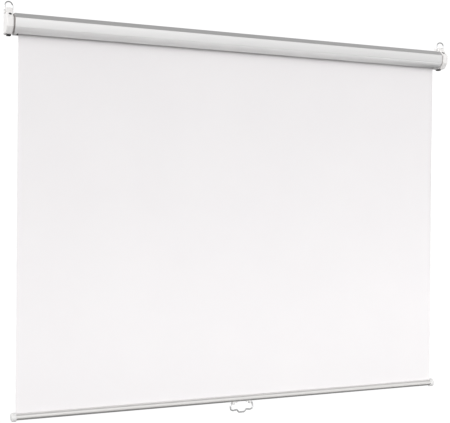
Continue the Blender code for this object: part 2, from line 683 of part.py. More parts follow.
for side, label in ((-1, "left"), (1, "right")):
    cap = turned(label + "_bar_cap", [
        (0.0, 1018.0), (11.0, 1018.0), (14.8, 1016.9), (16.9, 1014.5), (BARCAP_R, 1011.0), (BARCAP_R, 999.4), (BARCAP_R - 1.0, 998.0),
        (BAR_R + GAP, 998.0), (BAR_R + GAP, BAR_END + GAP), (0.0, BAR_END + GAP)], 40)
    put(cap, BAR, turn=ALONG_X if side > 0 else ALONG_MINUS_X, mat=GREY_CAP)
    notch = cutter(box(label + "_cap_notch", (8.0, 2.4, 10.0), CUTTERS))
    put(notch, BAR, (side * 996.8, 0, BARCAP_R - 1.0))
    boolean(cap, notch)
    smooth(cap)

# ---- handle clips, screws and handle -------------------------------------------------------------
# each clip is a saddle under the bar with a screw foot on its inner side and an eye on its outer side
EYE_X = 41.0
EYE_W = 11.0
FOOT_IN = 19.5
LUG_X = 25.5
CLIP_LOW = HANDLE_Z - 5.6
FOOT_LOW = BAR_Z - BAR_R - GAP - 2.0
for s, label in ((-1, "left"), (1, "right")):
    clip = box(label + "_handle_clip", (EYE_W, 14.0, BAR_Z - 6.0 - CLIP_LOW))
    bevel(clip, 1.2, 2)
    put(clip, HANDLE, (s * EYE_X, 0, (BAR_Z - 6.0 + CLIP_LOW) / 2 - HANDLE_Z), mat=GREY_CAP)
    foot = cutter(box(label + "_clip_foot", (EYE_X - FOOT_IN, 13.0, BAR_Z - 7.0 - FOOT_LOW), CUTTERS))
    put(foot, HANDLE, (s * (EYE_X + FOOT_IN) / 2, 0, (BAR_Z - 7.0 + FOOT_LOW) / 2 - HANDLE_Z))
    boolean(clip, foot, "UNION")
    saddle = cutter(rod(label + "_clip_saddle", BAR_R + GAP, 60.0, 64, CUTTERS))
    put(saddle, HANDLE, (s * 34.0, 0, BAR_Z - HANDLE_Z), ALONG_X)
    boolean(clip, saddle)
    eye = cutter(rod(label + "_clip_eye", HANDLE_WIRE + 0.55, 30.0, 20, CUTTERS))
    put(eye, HANDLE, (s * (EYE_X + 3.0), 0, 0), ALONG_X)
    boolean(clip, eye)
    hole = cutter(rod(label + "_clip_hole", 1.5, 12.0, 12, CUTTERS))
    put(hole, HANDLE, (s * LUG_X, 0, FOOT_LOW - HANDLE_Z))
    boolean(clip, hole)
    pilot = cutter(rod(label + "_bar_hole", 1.4, 8.0, 12, CUTTERS))
    put(pilot, HANDLE, (s * LUG_X, 0, BAR_Z - BAR_R - HANDLE_Z))
    boolean(bar, pilot)

lug = screw_mesh(2.6, 1.5, 1.05, 7.0, 12)
for s, label in SIDES:
    fastener(label + "_clip_screw", lug, facing(s * LUG_X, 0, FOOT_LOW - GAP - HANDLE_Z, (0, 0, -1)), HANDLE, ZINC)

HALF_W = 54.0
half = [(34.5, 0, 0), (50.8, 0, 0), (HALF_W, 0, -13.0), (HALF_W - 2.0, 0, -27.6), (41.0, 0, -31.4), (22.5, 0, -29.0), (12.5, 0, -40.4)]
whole = [(-x, y, z) for x, y, z in half] + [(x, y, z) for x, y, z in reversed(half)]
radii = [4.0, 14.0, 6.0, 8.0, 7.0, 8.0, 8.0, 7.0, 8.0, 6.0, 14.0, 4.0]
handle = wire("pull_handle", filleted(whole, radii, 4), HANDLE_WIRE, 3)
put(handle, HANDLE, mat=CHROME)
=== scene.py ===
"""Pull-down projection screen, let down and locked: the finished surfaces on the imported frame."""

import json
import math

import bmesh
import bpy
from mathutils import Matrix, Vector

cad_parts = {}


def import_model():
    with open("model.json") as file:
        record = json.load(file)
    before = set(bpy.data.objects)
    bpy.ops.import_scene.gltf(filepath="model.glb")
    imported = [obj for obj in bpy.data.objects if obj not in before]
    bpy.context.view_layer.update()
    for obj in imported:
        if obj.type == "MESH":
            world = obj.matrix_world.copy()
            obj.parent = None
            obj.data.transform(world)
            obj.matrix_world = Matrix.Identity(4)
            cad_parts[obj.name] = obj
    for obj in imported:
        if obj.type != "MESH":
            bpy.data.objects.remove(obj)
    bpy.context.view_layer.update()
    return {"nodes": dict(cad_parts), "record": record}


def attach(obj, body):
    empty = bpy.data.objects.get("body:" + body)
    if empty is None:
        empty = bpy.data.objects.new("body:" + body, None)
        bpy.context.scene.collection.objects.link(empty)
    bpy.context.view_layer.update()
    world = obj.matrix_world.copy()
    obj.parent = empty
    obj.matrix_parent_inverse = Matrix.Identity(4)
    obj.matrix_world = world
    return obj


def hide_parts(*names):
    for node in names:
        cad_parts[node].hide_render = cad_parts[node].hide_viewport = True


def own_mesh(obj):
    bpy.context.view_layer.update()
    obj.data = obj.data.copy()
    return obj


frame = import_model()
scene = bpy.context.scene
MM = 0.001

# ---- the frame's own dimensions, in millimetres ---------------------------------------
FABRIC_Y = 5.0
FABRIC_W = 2000.0
CASE_TOP, CASE_LOW, CASE_FRONT, CASE_BACK = -43.0, -124.6, -46.0, 22.4
UPPER_CHAMFER, LOWER_CHAMFER = 20.7, 24.2
CASE_T, CASE_END = 1.5, 1020.2
CAP_IN, CAP_OUT, CAP_OVER = 1028.4, 1055.0, 0.8
NECK_INSET, SPIGOT_IN, SPIGOT_INSET, SPIGOT_BORE, CAP_BORE = 9.3, 1006.0, 1.8, 4.3, 11.5
GAP = 0.3
HANG_X, LOOP_R, LOOP_WIRE, LOOP_TURN = 1039.2, 16.5, 2.5, math.radians(13)
BLOCK_W, BLOCK_D, BLOCK_Y = 31.0, 39.0, 8.0
BLOCK_Z0, BLOCK_Z1 = CASE_TOP + CAP_OVER + GAP, -22.5
PIN_Z = BLOCK_Z1 - 11.0
ROLLER_Y, ROLLER_Z = -19.1, -83.0
BAR_R, BAR_Z, BAR_END, BARCAP_R = 13.5, -1638.8, 1009.0, 17.8
HANDLE_X, HANDLE_Z, HANDLE_WIRE = -5.0, -1658.6, 3.25
SCREW_X = 1038.6
CAP_HEADS = {"front": (5.6, 1.8, 12.0, 3.7), "back": (4.0, 2.0, 9.5, 6.2)}
FABRIC_LOW = BAR_Z + 3.6 + 3.9 + GAP
DIAG = math.sqrt(0.5)
SIDES = ((-1, "left"), (1, "right"))


# ---- camera ---------------------------------------------------------------------------
def camera():
    yaw, pitch, roll = math.radians(24.583), math.radians(-0.457), math.radians(0.533)
    at = Vector((-1.829, -3.788, -0.785))
    forward = Vector((math.sin(yaw), math.cos(yaw), 0))
    right = Vector((math.cos(yaw), -math.sin(yaw), 0))
    up = Vector((0, 0, 1))
    ahead = forward * math.cos(pitch) + up * math.sin(pitch)
    above = up * math.cos(pitch) - forward * math.sin(pitch)
    x = right * math.cos(roll) + above * math.sin(roll)
    y = above * math.cos(roll) - right * math.sin(roll)
    data = bpy.data.cameras.new("camera")
    data.sensor_width = 36.0
    data.lens = 958.0 * 36.0 / 450.0
    data.clip_start = 0.05
    obj = bpy.data.objects.new("camera", data)
    scene.collection.objects.link(obj)
    obj.matrix_world = Matrix(((x.x, y.x, -ahead.x, at.x), (x.y, y.y, -ahead.y, at.y), (x.z, y.z, -ahead.z, at.z), (0, 0, 0, 1)))
    scene.camera = obj


camera()


# ---- materials --------------------------------------------------------------------------
class Shader:
    """A Principled material with its nodes."""

    def __init__(self, name, rgb, roughness, metallic=0.0, **sockets):
        self.mat = bpy.data.materials.new(name)
        self.mat.use_nodes = True
        self.nodes, self.links = self.mat.node_tree.nodes, self.mat.node_tree.links
        self.out = self.nodes["Principled BSDF"]
        self.out.inputs["Base Color"].default_value = (*rgb, 1.0)
        self.out.inputs["Roughness"].default_value = roughness
        self.out.inputs["Metallic"].default_value = metallic
        for key, value in sockets.items():
            self.out.inputs[key.replace("_", " ")].default_value = value
        self.coords = self.nodes.new("ShaderNodeTexCoord").outputs["Object"]

    def mapped(self, scale=(1, 1, 1), turn=(0, 0, 0)):
        node = self.nodes.new("ShaderNodeMapping")
        node.inputs["Scale"].default_value = scale
        node.inputs["Rotation"].default_value = turn
        self.links.new(self.coords, node.inputs["Vector"])
        return node.outputs["Vector"]

    def noise(self, scale, detail=4.0, stretch=(1, 1, 1), rough=0.5):
        node = self.nodes.new("ShaderNodeTexNoise")
        node.inputs["Scale"].default_value = scale
        node.inputs["Detail"].default_value = detail
        node.inputs["Roughness"].default_value = rough
        self.links.new(self.mapped(stretch), node.inputs["Vector"])
        return node.outputs["Fac"]

    def wave(self, scale, direction, distort=0.0):
        node = self.nodes.new("ShaderNodeTexWave")
        node.wave_type = "BANDS"
        node.bands_direction = direction
        node.inputs["Scale"].default_value = scale
        node.inputs["Distortion"].default_value = distort
        self.links.new(self.coords, node.inputs["Vector"])
        return node.outputs["Fac"]

    def math(self, kind, a, b):
        node = self.nodes.new("ShaderNodeMath")
        node.operation = kind
        for socket, value in zip(node.inputs, (a, b)):
            if isinstance(value, (int, float)):
                socket.default_value = value
            else:
                self.links.new(value, socket)
        return node.outputs[0]

    def ramp(self, value, stops):
        node = self.nodes.new("ShaderNodeValToRGB")
        while len(node.color_ramp.elements) < len(stops):
            node.color_ramp.elements.new(0.5)
        for element, (at, colour) in zip(node.color_ramp.elements, stops):
            element.position = at
            element.color = (*colour, 1.0)
        self.links.new(value, node.inputs["Fac"])
        return node.outputs["Color"]

    def colour(self, value, stops):
        self.links.new(self.ramp(value, stops), self.out.inputs["Base Color"])
        return self

    def rough(self, value, low, high):
        node = self.nodes.new("ShaderNodeMapRange")
        node.inputs["To Min"].default_value = low
        node.inputs["To Max"].default_value = high
        self.links.new(value, node.inputs["Value"])
        self.links.new(node.outputs["Result"], self.out.inputs["Roughness"])
        return self

    def bump(self, height, strength, distance):
        node = self.nodes.new("ShaderNodeBump")
        node.inputs["Strength"].default_value = strength
        node.inputs["Distance"].default_value = distance
        self.links.new(height, node.inputs["Height"])
        previous = self.out.inputs["Normal"].links
        if previous:
            self.links.new(previous[0].from_socket, node.inputs["Normal"])
        self.links.new(node.outputs["Normal"], self.out.inputs["Normal"])
        return self


def case_paint():
    s = Shader("case_paint_look", (0.80, 0.795, 0.79), 0.36, 0.9)
    patch = s.noise(6.0, 3.0, (0.25, 1, 1))
    s.colour(patch, [(0.3, (0.785, 0.78, 0.777)), (0.7, (0.815, 0.81, 0.807))])
    peel = s.noise(900.0, 2.0)
    s.rough(s.noise(40.0, 4.0), 0.30, 0.38)
    s.bump(peel, 0.12, 0.0002)
    s.bump(s.noise(5.0, 2.0, (0.2, 1, 1)), 0.15, 0.0006)
    return s.mat


def cap_plastic():
    s = Shader("cap_plastic_look", (0.84, 0.825, 0.815), 0.5)
    s.colour(s.noise(30.0, 4.0), [(0.3, (0.82, 0.805, 0.795)), (0.7, (0.86, 0.845, 0.835))])
    s.rough(s.noise(120.0, 3.0), 0.44, 0.56)
    s.bump(s.noise(2200.0, 3.0), 0.25, 0.00015)
    return s.mat


def bright_wire(name, rgb, low, high):
    s = Shader(name, rgb, (low + high) / 2, 1.0)
    s.colour(s.noise(160.0, 4.0), [(0.3, tuple(0.93 * c for c in rgb)), (0.7, rgb)])
    s.rough(s.noise(500.0, 3.0), low, high)
    s.bump(s.noise(900.0, 2.0), 0.05, 0.0001)
    return s.mat


def plated(name, rgb, roughness, grain=400.0, stretch=(1, 1, 1)):
    s = Shader(name, rgb, roughness, 1.0)
    dark = tuple(0.82 * c for c in rgb)
    s.colour(s.noise(grain * 0.2, 5.0, stretch), [(0.3, dark), (0.7, rgb)])
    s.rough(s.noise(grain * 0.5, 4.0, stretch), roughness * 0.8, roughness * 1.25)
    s.bump(s.noise(grain * 4.0, 3.0, stretch), 0.1, 0.0001)
    return s.mat


def black_steel():
    s = Shader("black_steel_look", (0.035, 0.035, 0.037), 0.42, 0.6)
    s.colour(s.noise(600.0, 4.0), [(0.3, (0.025, 0.025, 0.026)), (0.75, (0.06, 0.06, 0.062))])
    s.rough(s.noise(900.0, 3.0), 0.35, 0.5)
    return s.mat


def rubber():
    s = Shader("rubber_look", (0.028, 0.028, 0.029), 0.82)
    s.colour(s.noise(150.0, 5.0), [(0.3, (0.020, 0.020, 0.021)), (0.75, (0.045, 0.044, 0.043))])
    s.bump(s.noise(1500.0, 3.0), 0.4, 0.0002)
    return s.mat


def nylon():
    s = Shader("nylon_look", (0.33, 0.33, 0.34), 0.5)
    s.colour(s.noise(90.0, 4.0), [(0.3, (0.30, 0.30, 0.31)), (0.7, (0.36, 0.36, 0.37))])
    s.bump(s.noise(1400.0, 3.0), 0.2, 0.00015)
    return s.mat


def fabric():
    s = Shader("projection_fabric_look", (0.808, 0.790, 0.797), 0.92, Sheen_Weight=0.06, Sheen_Roughness=0.6, Specular_IOR_Level=0.25)
    s.colour(s.noise(3.0, 4.0), [(0.3, (0.802, 0.783, 0.791)), (0.7, (0.814, 0.796, 0.802))])
    # a fine plain weave under the coating
    warp = s.wave(420.0, "X", 0.0)
    weft = s.wave(420.0, "Z", 0.0)
    s.bump(s.math("MULTIPLY", warp, weft), 0.18, 0.0002)
    s.bump(s.noise(1300.0, 2.0), 0.12, 0.0002)
    return s.mat


def bar_paint():
    s = Shader("bar_paint_look", (0.74, 0.73, 0.715), 0.34, 0.8)
    s.colour(s.noise(12.0, 4.0, (0.15, 1, 1)), [(0.3, (0.725, 0.715, 0.70)), (0.7, (0.755, 0.745, 0.73))])
    s.rough(s.noise(60.0, 3.0, (0.1, 1, 1)), 0.33, 0.40)
    s.bump(s.noise(1000.0, 2.0, (0.15, 1, 1)), 0.08, 0.0002)
    return s.mat


def bar_cap_plastic():
    s = Shader("bar_cap_look", (0.72, 0.715, 0.71), 0.36)
    s.colour(s.noise(70.0, 4.0), [(0.3, (0.70, 0.695, 0.69)), (0.7, (0.745, 0.74, 0.735))])
    s.rough(s.noise(200.0, 3.0), 0.30, 0.42)
    s.bump(s.noise(1800.0, 2.0), 0.15, 0.00015)
    return s.mat


def painted_neck_shade():
    # painted shade: a darker grey standing in for the shadow in the neck groove between cap and case
    s = Shader("cap_neck_painted_shade", (0.47, 0.45, 0.44), 0.55)
    s.colour(s.noise(40.0, 4.0), [(0.3, (0.45, 0.43, 0.42)), (0.7, (0.49, 0.47, 0.46))])
    s.bump(s.noise(2200.0, 3.0), 0.2, 0.00015)
    return s.mat


def painted_shade_material(name):
    # painted shade: a near-black material for faces that lie in shade
    s = Shader(name, (0.06, 0.06, 0.062), 0.6)
    s.colour(s.noise(25.0, 4.0, (0.1, 1, 1)), [(0.3, (0.05, 0.05, 0.052)), (0.7, (0.075, 0.075, 0.077))])
    s.rough(s.noise(200.0, 3.0), 0.5, 0.7)
    return s.mat


NECK_SHADE = painted_neck_shade()
LOOK = {
    "case_paint": case_paint(), "cap_plastic": cap_plastic(), "loop_wire": bright_wire("loop_wire_look", (0.45, 0.45, 0.455), 0.14, 0.22),
    "zinc_steel": plated("zinc_look", (0.62, 0.63, 0.65), 0.36), "black_steel": black_steel(), "black_rubber": rubber(),
    "grey_nylon": nylon(), "spring_steel": plated("spring_look", (0.30, 0.30, 0.32), 0.36),
    "tube_aluminium": plated("aluminium_look", (0.72, 0.72, 0.73), 0.4, 300.0, (0.1, 1, 1)),
    "pawl_brass": plated("brass_look", (0.70, 0.52, 0.25), 0.3), "screen_fabric": fabric(),
    "bar_paint": bar_paint(), "grey_cap_plastic": bar_cap_plastic(), "handle_chrome": bright_wire("handle_wire_look", (0.58, 0.58, 0.585), 0.16, 0.26)}

for part in frame["record"]["subparts"]:
    node = frame["nodes"][part["node"]]
    if node.material_slots:
        for each in node.material_slots:
            each.material = LOOK[part["material_slot"]]
    else:
        node.data.materials.append(LOOK[part["material_slot"]])


# ---- mesh code --------------------------------------------------------------------------
def ring_object(name, bm):
    bmesh.ops.recalc_face_normals(bm, faces=bm.faces)
    mesh = bpy.data.meshes.new(name)
    bm.to_mesh(mesh)
    bm.free()
    obj = bpy.data.objects.new(name, mesh)
    scene.collection.objects.link(obj)
    return obj


def loft(name, rings, ends=True):
    """Closed rings of points (mm), joined one to the next, with flat ends or joined round."""
    bm = bmesh.new()
    rows = [[bm.verts.new(Vector(p) * MM) for p in ring] for ring in rings]
    pairs = list(zip(rows, rows[1:])) + ([] if ends else [(rows[-1], rows[0])])
    for a, b in pairs:
        for i in range(len(a)):
            j = (i + 1) % len(a)
            bm.faces.new((a[i], b[i], b[j], a[j]))
    if ends:
        bm.faces.new(rows[0])
        bm.faces.new(list(reversed(rows[-1])))
    return ring_object(name, bm)


def arc(cx, cy, r, a0, a1, n):
    return [(cx + r * math.cos(math.radians(a0 + (a1 - a0) * i / n)),
             cy + r * math.sin(math.radians(a0 + (a1 - a0) * i / n))) for i in range(n + 1)]


def rounded(points, radii, n=4, closed=True):
    """A line through the points with every corner turned on a radius."""
    count = len(points)
    out = []
    for i in range(count):
        p = Vector(points[i])
        if not closed and i in (0, count - 1):
            out.append(p)
            continue
        a, b = Vector(points[i - 1]), Vector(points[(i + 1) % count])
        r = radii[i] if hasattr(radii, "__len__") else radii
        u, v = (a - p).normalized(), (b - p).normalized()
        turn = math.pi - u.angle(v)
        if r <= 0 or turn < 1e-4:
            out.append(p)
            continue
        cut = r * math.tan(turn / 2)
        centre = p + (u + v).normalized() * (r / math.cos(turn / 2))
        s0, s1 = p + u * cut - centre, p + v * cut - centre
        angle = s0.angle(s1)
        for k in range(n + 1):
            f = k / n
            out.append(centre + (s0 * math.sin((1 - f) * angle) + s1 * math.sin(f * angle)) / math.sin(angle))
    return out


def turned(name, profile, steps, side=1, centre=(0, 0)):
    """A turned shape about a line along X: profile is (x, radius) in mm, a radius of 0 closes it."""
    cy, cz = centre
    bm = bmesh.new()
    rows = []
    for x, r in profile:
        if r <= 1e-6:
            rows.append([bm.verts.new(Vector((side * x, cy, cz)) * MM)])
        else:
            rows.append([bm.verts.new(Vector((side * x, cy + r * math.cos(math.tau * i / steps), cz + r * math.sin(math.tau * i / steps))) * MM)
                         for i in range(steps)])
    closed = profile[0][1] > 1e-6 and profile[-1][1] > 1e-6
    for a, b in list(zip(rows, rows[1:])) + ([(rows[-1], rows[0])] if closed else []):
        for i in range(steps):
            j = (i + 1) % steps
            if len(a) == 1:
                bm.faces.new((a[0], b[i], b[j]))
            elif len(b) == 1:
                bm.faces.new((a[i], b[0], a[j]))
            else:
                bm.faces.new((a[i], b[i], b[j], a[j]))
    return ring_object(name, bm)


def swept(name, points, r, sides=20, round_ends=True):
    """A round wire along points (mm)."""
    points = [Vector(p) for p in points]
    tangents = []
    for i in range(len(points)):
        a, b = points[max(0, i - 1)], points[min(len(points) - 1, i + 1)]
        tangents.append((b - a).normalized())
    side = tangents[0].orthogonal().normalized()
    rings = []
    for i, (p, t) in enumerate(zip(points, tangents)):
        side = (side - t * side.dot(t)).normalized()
        up = t.cross(side)
        rings.append((p, side.copy(), up, t))

    def circle(p, s, u, radius):
        return [p + (s * math.cos(math.tau * k / sides) + u * math.sin(math.tau * k / sides)) * radius for k in range(sides)]

    rows = []
    if round_ends:
        p, s, u, t = rings[0]
        rows += [circle(p - t * (r * 0.35 * math.cos(a)), s, u, r * (0.65 + 0.35 * math.sin(a))) for a in (0.0, 0.5, 1.05)]
    rows += [circle(p, s, u, r) for p, s, u, t in rings]
    if round_ends:
        p, s, u, t = rings[-1]
        rows += [circle(p + t * (r * 0.35 * math.cos(a)), s, u, r * (0.65 + 0.35 * math.sin(a))) for a in (1.05, 0.5, 0.0)]
    return loft(name, rows)


def block(name, size, at, radius, segments=4, turn=None):
    """A box with all its edges rounded."""
    bm = bmesh.new()
    bmesh.ops.create_cube(bm, size=1.0)
    bmesh.ops.scale(bm, vec=Vector(size) * MM, verts=bm.verts)
    if radius > 0:
        bmesh.ops.bevel(bm, geom=bm.edges[:], offset=radius * MM, segments=segments, profile=0.5, affect="EDGES", clamp_overlap=True)
    if turn is not None:
        bmesh.ops.rotate(bm, cent=(0, 0, 0), matrix=turn, verts=bm.verts)
    bmesh.ops.translate(bm, vec=Vector(at) * MM, verts=bm.verts)
    return ring_object(name, bm)


def rod(name, r, length, at, direction, sides=32):
    """A plain cylinder, centred at a place."""
    bm = bmesh.new()
    bmesh.ops.create_cone(bm, cap_ends=True, segments=sides, radius1=r * MM, radius2=r * MM, depth=length * MM)
    q = Vector((0, 0, 1)).rotation_difference(Vector(direction))
    bmesh.ops.rotate(bm, cent=(0, 0, 0), matrix=q.to_matrix(), verts=bm.verts)
    bmesh.ops.translate(bm, vec=Vector(at) * MM, verts=bm.verts)
    return ring_object(name, bm)


def combine(obj, others, operation="DIFFERENCE"):
    """Booleans that are applied at once; the other objects are used up."""
    for other in others:
        mod = obj.modifiers.new("cut", "BOOLEAN")
        mod.operation = operation
        mod.solver = "EXACT"
        mod.object = other
    bake(obj)
    for other in others:
        bpy.data.objects.remove(other, do_unlink=True)
    return obj


def bake(obj):
    bpy.context.view_layer.update()
    dg = bpy.context.evaluated_depsgraph_get()
    mesh = bpy.data.meshes.new_from_object(obj.evaluated_get(dg))
    obj.modifiers.clear()
    obj.data = mesh
    return obj


def done(obj, body, slot, nodes=(), angle=32):
    """Gives a piece its look and its place in the frame."""
    if angle is not None:
        obj.data.shade_smooth()
        obj.data.set_sharp_from_angle(angle=math.radians(angle))
    obj.data.materials.clear()
    obj.data.materials.append(LOOK[slot])
    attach(obj, body)
    if nodes:
        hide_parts(*nodes)
    return obj


# ---- the case's section -------------------------------------------------------------------
FACETS = [
    (0.0, 1.0, CASE_TOP),
    (-DIAG, DIAG, DIAG * (CASE_TOP - UPPER_CHAMFER - CASE_FRONT)),
    (-1.0, 0.0, -CASE_FRONT),
    (-DIAG, -DIAG, DIAG * (-CASE_LOW - LOWER_CHAMFER - CASE_FRONT)),
    (0.0, -1.0, -CASE_LOW),
    (1.0, 0.0, CASE_BACK)]


def section(inset):
    out = []
    for (ay, az, ad), (by, bz, bd) in zip(FACETS, FACETS[1:] + FACETS[:1]):
        ad, bd = ad - inset, bd - inset
        det = ay * bz - az * by
        out.append(((ad * bz - bd * az) / det, (ay * bd - by * ad) / det))
    return out


def section_ring(x, inset, radius, n=4):
    return [(x, p[0] + FABRIC_Y, p[1]) for p in rounded(section(inset), radius, n)]


def case_shell():
    c = section(0.0)
    outer = [(c[3][0] + 2.2, CASE_LOW + 5.5), c[3], c[2], c[1], c[0], c[5], c[4], (9.0, CASE_LOW), (6.8, CASE_LOW + 5.5)]
    inner = []
    for i, p in enumerate(outer):
        p = Vector(p)
        before = (p - Vector(outer[i - 1])).normalized() if i else None
        after = (Vector(outer[i + 1]) - p).normalized() if i + 1 < len(outer) else None
        sides = [Vector((d.y, -d.x)) for d in (before, after) if d is not None]
        if len(sides) == 1:
            inner.append(tuple(p + sides[0] * CASE_T))
        else:
            mean = (sides[0] + sides[1]).normalized()
            inner.append(tuple(p + mean * (CASE_T / mean.dot(sides[0]))))
    line = outer + list(reversed(inner))
    n = len(outer)
    radii = [0.6] + [1.9] * (n - 2) + [0.6] + [0.6] + [0.45] * (n - 2) + [0.6]
    line = rounded(line, radii, 4)
    xs = [-CASE_END, -CASE_END + 0.3] + [-1000 + 2000 * i / 40 for i in range(41)] + [CASE_END - 0.3, CASE_END]
    rings = [[(x, y + FABRIC_Y, z) for y, z in line] for x in xs]
    obj = loft("case_profile", rings)
    cutters = []
    for side, label in SIDES:
        rows = [[(side * x, p[0] + FABRIC_Y, p[1]) for p in section(SPIGOT_INSET - 0.15)] for x in (SPIGOT_IN - 0.6, SPIGOT_IN + 24.0)]
        cutters.append(loft(label + "_relief", rows))
        cutters.append(rod(label + "_hole", 2.2, 8.0, (side * 1013.0, FABRIC_Y, CASE_TOP), (0, 0, 1), 24))
    combine(obj, cutters)
    done(obj, "case", "case_paint", ["case_shell"], 28)
    obj.data.materials.append(painted_shade_material("case_inside_painted_shade"))        # the inside faces are painted near-black as shade, so the opening under the case reads dark
    # faces inside the shell take the painted shade
    for face in obj.data.polygons:
        y, z = face.center.y / MM - FABRIC_Y, face.center.z / MM
        depth = min(d - (ny * y + nz * z) for ny, nz, d in FACETS)
        face.material_index = 1 if depth > CASE_T - 0.3 and abs(face.normal.x) < 0.9 else 0
    return obj


def end_cap(side, label):
    rows = []
    for k in range(13):                     # the rounded outer end
        a = math.radians(90 - 90 * k / 12)
        rows.append((CAP_OUT - 6.4 + 6.4 * math.sin(a), -CAP_OVER + 6.0 * (1 - math.cos(a)), 1.5))
    rows.append((CAP_IN + 0.9, -CAP_OVER, 1.5))
    for k in range(1, 5):
        a = math.radians(90 * k / 4)
        rows.append((CAP_IN + 0.9 - 0.9 * math.sin(a), -CAP_OVER + 0.9 * (1 - math.cos(a)), 1.4))
    rows += [(CAP_IN, NECK_INSET - 0.8, 1.0), (CAP_IN - 0.25, NECK_INSET - 0.2, 1.0), (CAP_IN - 0.8, NECK_INSET, 1.0),
             (CASE_END + GAP + 0.6, NECK_INSET, 1.0), (CASE_END + GAP, NECK_INSET - 0.6, 1.0),
             (CASE_END + GAP, SPIGOT_INSET + 0.3, 1.2), (CASE_END, SPIGOT_INSET, 1.2), (SPIGOT_IN + 1.0, SPIGOT_INSET, 1.2),
             (SPIGOT_IN, SPIGOT_INSET + 1.0, 1.0), (SPIGOT_IN, SPIGOT_BORE, 0.6), (CASE_END - 2.0, SPIGOT_BORE, 0.6),
             (CASE_END - 2.0, CAP_BORE, 0.6), (CAP_OUT - 3.5, CAP_BORE, 0.6)]
    obj = loft(label + "_cap_moulding", [section_ring(side * x, inset, radius, 4) for x, inset, radius in rows])
    c = section(0.0)
    front = (c[0][0] - 0.32 * UPPER_CHAMFER, CASE_TOP - 0.32 * UPPER_CHAMFER)
    cutters = []
    for d, (y, z) in (((0, -DIAG, DIAG), front), ((0, 1, 0), (CASE_BACK, -64.0))):
        at = Vector((side * SCREW_X, y + FABRIC_Y, z))
        head_r, _, _, floor = CAP_HEADS["front" if d[1] < 0 else "back"]
        seat = turned("seat", [(2.0, 0.0), (2.0, head_r + 1.9), (0.8, head_r + 1.5), (0.3, head_r + 0.95), (-0.2, head_r + 0.7), (-floor, head_r + 0.7), (-floor, 0.0)], 48)
        seat.data.transform(Matrix.Translation(at * MM) @ Vector((1, 0, 0)).rotation_difference(Vector(d)).to_matrix().to_4x4())
        cutters.append(seat)
        cutters.append(rod("through", 2.0, 15.0 - floor, at - Vector(d) * ((12.0 + floor) / 2), d, 20))
    for y in (-12.0, 5.0):
        cutters.append(rod("hanger_hole", 2.0, 16.0, (side * HANG_X, FABRIC_Y + y, CASE_TOP - 5.5), (0, 0, 1), 20))
    cutters.append(rod("spigot_hole", 1.6, 8.0, (side * 1013.0, FABRIC_Y, CASE_TOP - 3.0), (0, 0, 1), 20))
    combine(obj, cutters)
    done(obj, "case", "cap_plastic", [label + "_end_cap"], 28)
    obj.data.materials.append(painted_shade_material(label + "_recess_painted_shade"))     # the front screw's recess is painted near-black as shade
    # the neck groove's painted shade
    obj.data.materials.append(NECK_SHADE)
    at, d = Vector((side * SCREW_X, front[0] + FABRIC_Y, front[1])), Vector((0, -DIAG, DIAG))
    # index 1 is painted shade in the front screw's recess, index 2 painted shade in the neck groove
    for face in obj.data.polygons:
        off = face.center / MM - at
        deep = -off.dot(d)
        recess_shaded = 0.25 < deep < 14 and (off + d * deep).length < CAP_HEADS["front"][0] + 0.9
        y, z = face.center.y / MM - FABRIC_Y, face.center.z / MM
        inset = min(far - (ny * y + nz * z) for ny, nz, far in FACETS)
        neck_shaded = CASE_END - 0.1 < abs(face.center.x) / MM < CAP_IN - 0.1 and inset > 2.5
        face.material_index = 1 if recess_shaded else 2 if neck_shaded else 0
    return obj


def hanger(side, label):
    obj = block(label + "_hanger_moulding", (BLOCK_W, BLOCK_D, BLOCK_Z1 - BLOCK_Z0), (side * HANG_X, BLOCK_Y, (BLOCK_Z0 + BLOCK_Z1) / 2), 1.8, 4)
    turn = Matrix.Rotation(-side * LOOP_TURN, 3, "Z")
    cutters = []
    for s in (-1, 1):
        at = turn @ Vector((s * LOOP_R, 0, 0)) + Vector((side * HANG_X, 0, PIN_Z - 3.8 + 12.0))
        cutters.append(rod("groove", LOOP_WIRE + 0.6, 24.0, at, (0, 0, 1), 40))
        at = turn @ Vector((s * (LOOP_R - 3.4), 0, 0)) + Vector((side * HANG_X, 0, PIN_Z))
        cutters.append(rod("pin_hole", LOOP_WIRE + 0.4, 12.0, at, turn @ Vector((1, 0, 0)), 36))
    for y in (-12.0, 5.0):
        cutters.append(rod("screw_hole", 1.7, 24.0, (side * HANG_X, FABRIC_Y + y, BLOCK_Z0 - 0.5), (0, 0, 1), 20))
    combine(obj, cutters)
    done(obj, "case", "cap_plastic", [label + "_hanger_block"], 28)
    top = -LOOP_R + LOOP_WIRE
    foot = rounded([Vector((-LOOP_R + 9.0, 0, PIN_Z)), Vector((-LOOP_R, 0, PIN_Z)), Vector((-LOOP_R, 0, PIN_Z + 8.0))], 3.2, 8, False)
    path = list(foot) + [Vector((x, 0, z)) for x, z in arc(0, top, LOOP_R, 180, 0, 40)] + [Vector((-p.x, 0, p.z)) for p in reversed(foot)]
    path = [turn @ p + Vector((side * HANG_X, 0, 0)) for p in path]
    done(swept(label + "_loop_bail", path, LOOP_WIRE, 24, False), "case", "loop_wire", [label + "_hanging_loop"], 40)


def rubber_foot(side, label):
    obj = block(label + "_foot_pad", (16.0, 20.0, 5.2), (side * 1037.0, FABRIC_Y + 4.0, CASE_LOW - CAP_OVER - GAP - 2.6), 1.3, 4)
    grooves = [block("groove", (30.0, 1.2, 1.6), (side * 1037.0, FABRIC_Y + 4.0 + dy, CASE_LOW - CAP_OVER - GAP - 5.2), 0.3, 2) for dy in (-5.0, 0.0, 5.0)]
    combine(obj, grooves)
    return done(obj, "case", "black_rubber", [label + "_rubber_foot"], 30)


